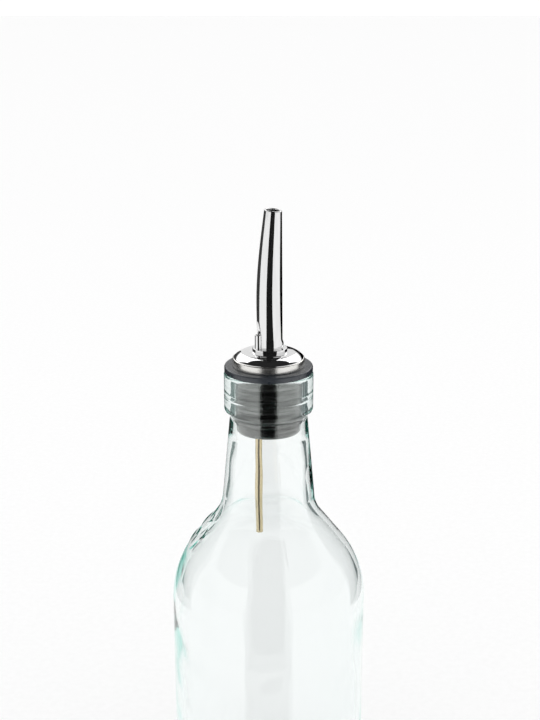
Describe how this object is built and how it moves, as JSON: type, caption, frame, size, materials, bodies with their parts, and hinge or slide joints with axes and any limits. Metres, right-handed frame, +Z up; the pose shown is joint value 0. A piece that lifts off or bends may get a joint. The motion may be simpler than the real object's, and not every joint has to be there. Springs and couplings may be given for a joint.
{
  "type": "glass oil bottle",
  "caption": "Clear glass oil bottle with a slender neck and a lift-out steel pourer: upright spout, vent tube, dome, ring and rubber seal.",
  "frame": {"origin": "centre of the bottle's foot, on the surface it stands on", "axes": "+Z up the bottle's axis, +X from the vent stub towards the spout's pouring side"},
  "size_m": [0.0716, 0.0716, 0.2802],
  "materials": {
    "clear_glass": "clear, faintly green",
    "seal_rubber": "matt black",
    "turned_steel": "turned, fine rings",
    "moulded_core": "plain moulded",
    "satin_steel": "satin",
    "polished_steel": "mirror polished",
    "pale_brass": "bright drawn"
  },
  "bodies": {
    "bottle": {"glass_bottle": "clear_glass"},
    "seal": {"neck_seal": "seal_rubber"},
    "pourer": {"plug_sleeve": "turned_steel", "plug_core": "moulded_core", "plug_end_plate": "turned_steel", "base_ring": "satin_steel", "dome_cap": "polished_steel", "tube_collar": "polished_steel", "pour_spout": "polished_steel", "vent_stub": "polished_steel", "vent_tube": "pale_brass"}
  },
  "joints": [
    {"name": "pourer_lift", "type": "slide", "parent": "bottle", "child": "seal", "axis": [0, 0, 1], "range_m": [0, 0.066]},
    {"name": "pourer_turn", "type": "hinge", "parent": "seal", "child": "pourer", "pos_m": [0, 0, 0.2231], "axis": [0, 0, 1], "continuous": true}
  ]
}
